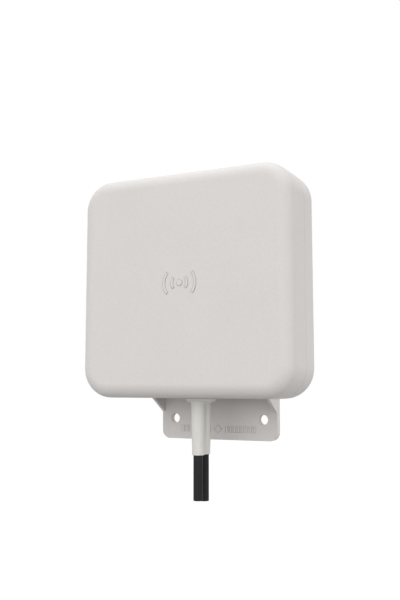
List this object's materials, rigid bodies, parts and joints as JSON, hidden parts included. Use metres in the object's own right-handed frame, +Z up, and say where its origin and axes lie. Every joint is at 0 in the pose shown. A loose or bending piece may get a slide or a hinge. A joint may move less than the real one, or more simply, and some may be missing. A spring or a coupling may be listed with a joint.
{
  "type": "flat panel antenna",
  "caption": "Enclosed flat panel antenna with rolled edges on a screw-on wall bracket, with twin coaxial leads leaving a moulded boot below.",
  "frame": {"origin": "on the wall, in the plane of the wall plate's flat back, midway between the bracket's wall holes", "axes": "+Z up, +Y into the wall, so the housing's front looks along -Y; +X to the viewer's right as the front is seen"},
  "size_m": [0.153, 0.0664, 0.2184],
  "materials": {
    "shell": "finely textured",
    "bracket": "finely textured",
    "boot": "satin",
    "gasket": "matt",
    "screws": "satin",
    "brass_parts": "satin",
    "sheet_metal": "satin",
    "circuit_board": "solder mask",
    "copper": "bare",
    "nylon": "matt",
    "clamp_plastic": "matt",
    "lead_jacket": "satin",
    "lead_braid": "woven",
    "lead_dielectric": "foamed"
  },
  "bodies": {
    "root": {"front_radome": "shell", "rear_cover": "shell", "rim_gasket": "gasket", "cover_screws": "screws", "vent_plug": "shell", "wall_bracket": "bracket", "bracket_screws": "screws", "bracket_inserts": "brass_parts", "reflector_tray": "sheet_metal", "reflector_screws": "screws", "feed_board": "circuit_board", "stem_board_upright": "circuit_board", "stem_board_level": "circuit_board", "radiator_board": "circuit_board", "arms_upright": "copper", "arms_level": "copper", "director_plate": "sheet_metal", "support_posts": "nylon", "post_screws": "screws", "director_screws": "screws", "cable_boot": "boot", "lead_clamp": "clamp_plastic", "clamp_screws": "screws", "jacket_front": "lead_jacket", "jacket_rear": "lead_jacket", "braid_front": "lead_braid", "braid_rear": "lead_braid", "dielectric_front": "lead_dielectric", "dielectric_rear": "lead_dielectric", "core_front": "copper", "core_rear": "copper", "ferrule_front": "brass_parts", "ferrule_rear": "brass_parts"}
  },
  "joints": []
}
